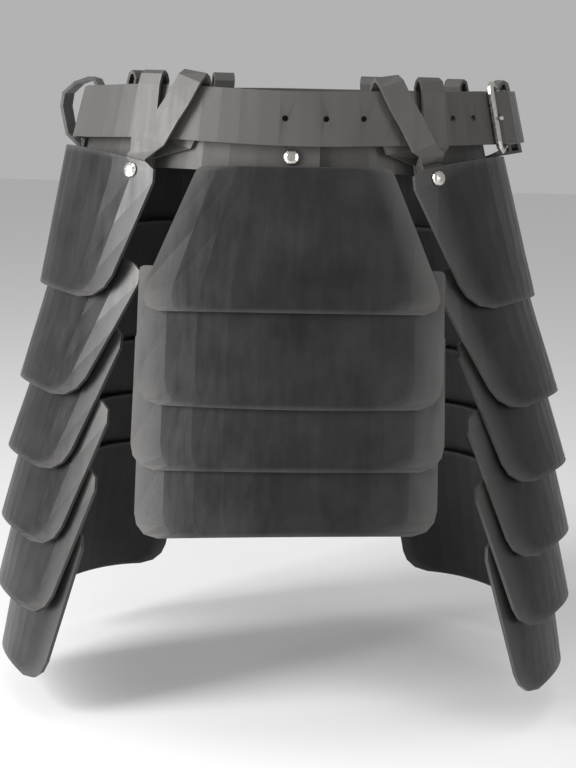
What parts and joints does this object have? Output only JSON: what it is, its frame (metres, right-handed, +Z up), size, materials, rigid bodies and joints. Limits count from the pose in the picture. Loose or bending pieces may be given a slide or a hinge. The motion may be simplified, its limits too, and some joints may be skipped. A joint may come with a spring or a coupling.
{
  "type": "leather armour skirt",
  "caption": "Leather armour skirt: a buckled belt carrying a front panel, two side tassets and two rear tassets of overlapping rounded plates on riveted strap loops.",
  "frame": {"origin": "centre of the belt's loop at half its height, where the waist goes through", "axes": "+Z up along the waist, the front faces -Y, the picture's right is +X"},
  "size_m": [0.4624, 0.3291, 0.4618],
  "materials": {
    "leather": "satin",
    "nickel": "polished"
  },
  "bodies": {
    "root": {"belt": "leather", "waist_band": "leather", "buckle_frame": "nickel", "buckle_prong": "nickel", "front_hanger": "leather", "front_hanger_rivet": "nickel", "front_lame_1": "leather", "front_lame_2": "leather", "front_lame_3": "leather", "front_lame_4": "leather", "front_inner_strap_1": "leather", "front_inner_strap_2": "leather", "left_lame_1": "leather", "left_lame_2": "leather", "left_lame_3": "leather", "left_lame_4": "leather", "left_lame_5": "leather", "left_lame_6": "leather", "left_hanger_upright": "leather", "left_hanger_slanted": "leather", "left_rivet_front": "nickel", "left_hanger_rear": "leather", "left_rivet_rear": "nickel", "left_inner_strap_1": "leather", "left_inner_strap_2": "leather", "rear_left_lame_1": "leather", "rear_left_lame_2": "leather", "rear_left_lame_3": "leather", "rear_left_lame_4": "leather", "rear_left_lame_5": "leather", "rear_left_lame_6": "leather", "rear_left_hanger_1": "leather", "rear_left_rivet_1": "nickel", "rear_left_hanger_2": "leather", "rear_left_rivet_2": "nickel", "right_lame_1": "leather", "right_lame_2": "leather", "right_lame_3": "leather", "right_lame_4": "leather", "right_lame_5": "leather", "right_lame_6": "leather", "right_hanger_upright": "leather", "right_hanger_slanted": "leather", "right_rivet_front": "nickel", "right_hanger_rear": "leather", "right_rivet_rear": "nickel", "right_inner_strap_1": "leather", "right_inner_strap_2": "leather", "rear_right_lame_1": "leather", "rear_right_lame_2": "leather", "rear_right_lame_3": "leather", "rear_right_lame_4": "leather", "rear_right_lame_5": "leather", "rear_right_lame_6": "leather", "rear_right_hanger_1": "leather", "rear_right_rivet_1": "nickel", "rear_right_hanger_2": "leather", "rear_right_rivet_2": "nickel"}
  },
  "joints": []
}
